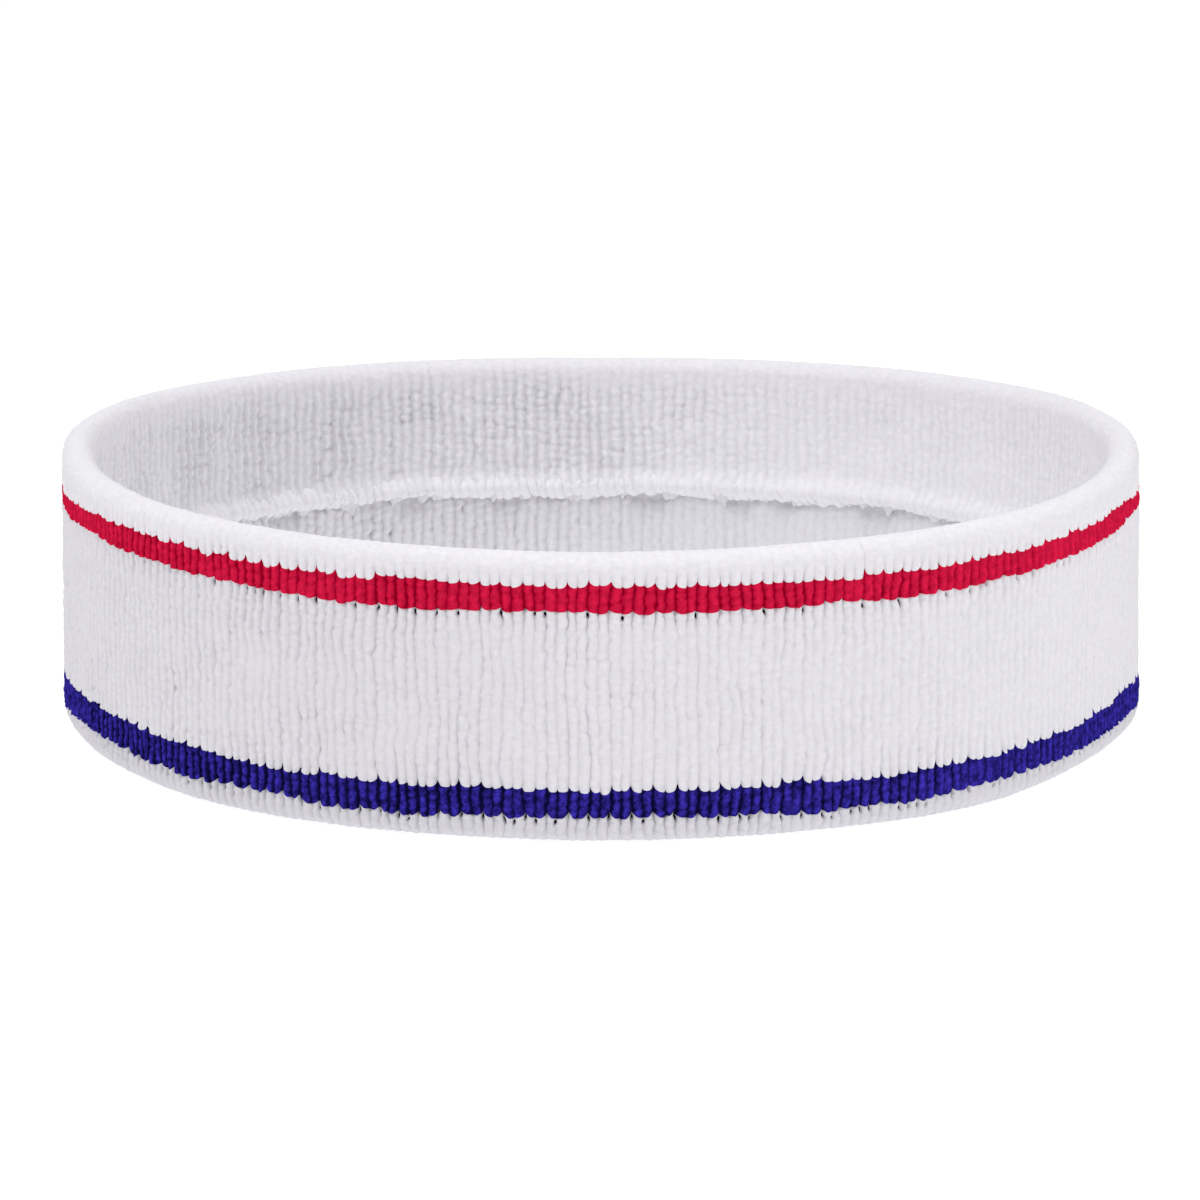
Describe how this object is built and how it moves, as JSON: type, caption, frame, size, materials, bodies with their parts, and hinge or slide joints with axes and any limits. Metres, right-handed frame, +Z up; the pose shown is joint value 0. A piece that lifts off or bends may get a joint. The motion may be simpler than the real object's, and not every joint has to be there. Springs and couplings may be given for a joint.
{
  "type": "sports headband",
  "caption": "Stretch terry headband: a folded double-ply knitted ring with two thin colour stripes and an inner closing seam.",
  "frame": {"origin": "centre of the bounding box's bottom face, on the surface that the band stands on", "axes": "+Z up along the band's height, +X to the wearer's side along the widest line, -Y the front of the band as worn"},
  "size_m": [0.184, 0.1711, 0.047],
  "materials": {
    "white_terry": "soft cotton-blend terry pile in vertical ropes of loops, bright white",
    "red_terry": "the same terry pile in crimson yarn",
    "blue_terry": "the same terry pile in royal blue yarn",
    "ground_jersey": "fine nylon jersey that holds the loops, slightly shiny",
    "elastic_yarn": "thin covered elastic yarn, off-white",
    "seam_thread": "bulky white sewing thread, overcast in slanted stitches"
  },
  "bodies": {
    "root": {"top_border_terry": "white_terry", "red_stripe_terry": "red_terry", "centre_panel_terry": "white_terry", "blue_stripe_terry": "blue_terry", "bottom_border_terry": "white_terry", "ground_knit": "ground_jersey", "outer_elastic_yarns": "elastic_yarn", "inner_elastic_yarns": "elastic_yarn", "upper_seam_edge": "ground_jersey", "lower_seam_edge": "ground_jersey", "overlock_looper_thread": "seam_thread", "seam_needle_thread": "seam_thread"}
  },
  "joints": []
}
